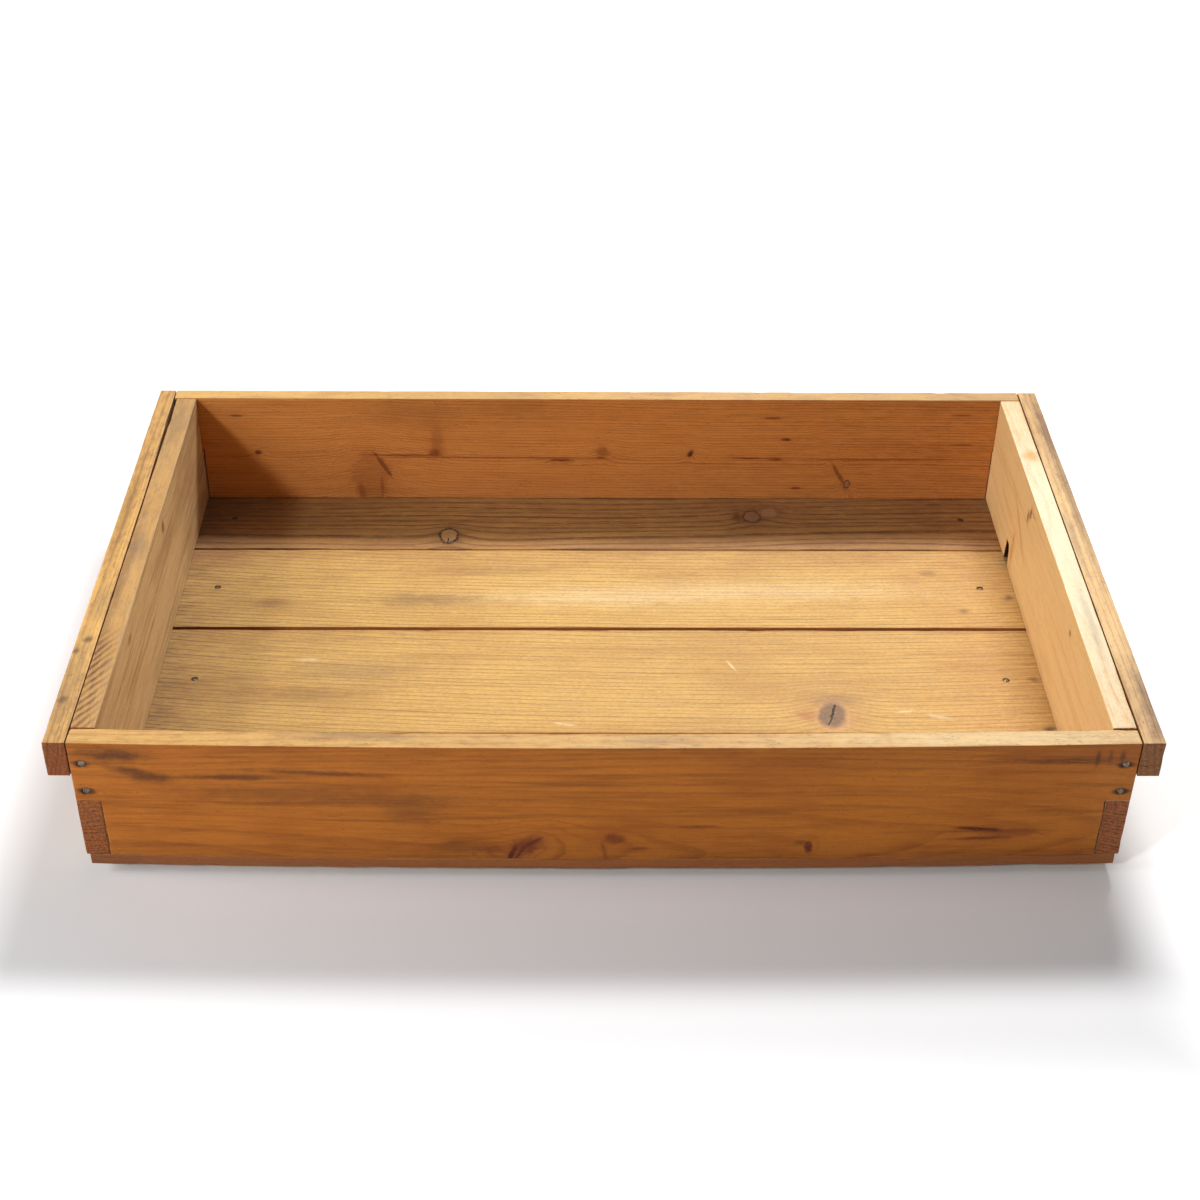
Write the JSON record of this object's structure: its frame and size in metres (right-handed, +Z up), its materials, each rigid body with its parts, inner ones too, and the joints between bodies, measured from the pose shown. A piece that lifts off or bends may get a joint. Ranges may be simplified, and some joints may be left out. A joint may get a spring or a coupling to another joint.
{
  "type": "wooden stacking tray",
  "caption": "Open shallow rectangular wooden tray with nailed finger corners, a lengthwise plank floor, handle battens along the short rims and cross battens underneath.",
  "frame": {"origin": "centre of the overall footprint, on the surface that the tray stands on", "axes": "+X along the length to the right-hand handle batten, +Y from the bowed front board to the back board, +Z up out of the open top"},
  "size_m": [0.6328, 0.3984, 0.0995],
  "materials": {
    "wall_wood": "satin varnished softwood, aged orange-brown",
    "floor_wood": "worn matte softwood",
    "handle_wood": "hand-worn softwood, grey-brown along the edges",
    "batten_wood": "rough matte softwood",
    "nail_steel": "dull, oxidised wire nails"
  },
  "bodies": {
    "root": {"front_board": "wall_wood", "back_board": "wall_wood", "left_side_board": "wall_wood", "right_side_board": "wall_wood", "floor_plank_front": "floor_wood", "floor_plank_middle_front": "floor_wood", "floor_plank_middle_rear": "floor_wood", "floor_plank_rear": "floor_wood", "left_handle_batten": "handle_wood", "right_handle_batten": "handle_wood", "left_foot_batten": "batten_wood", "right_foot_batten": "batten_wood", "front_corner_nails": "nail_steel", "back_corner_nails": "nail_steel", "left_finger_nails": "nail_steel", "right_finger_nails": "nail_steel", "left_handle_nails": "nail_steel", "right_handle_nails": "nail_steel", "left_plank_nails": "nail_steel", "right_plank_nails": "nail_steel", "front_edge_nails": "nail_steel", "rear_edge_nails": "nail_steel", "left_foot_nails": "nail_steel", "right_foot_nails": "nail_steel"}
  },
  "joints": []
}
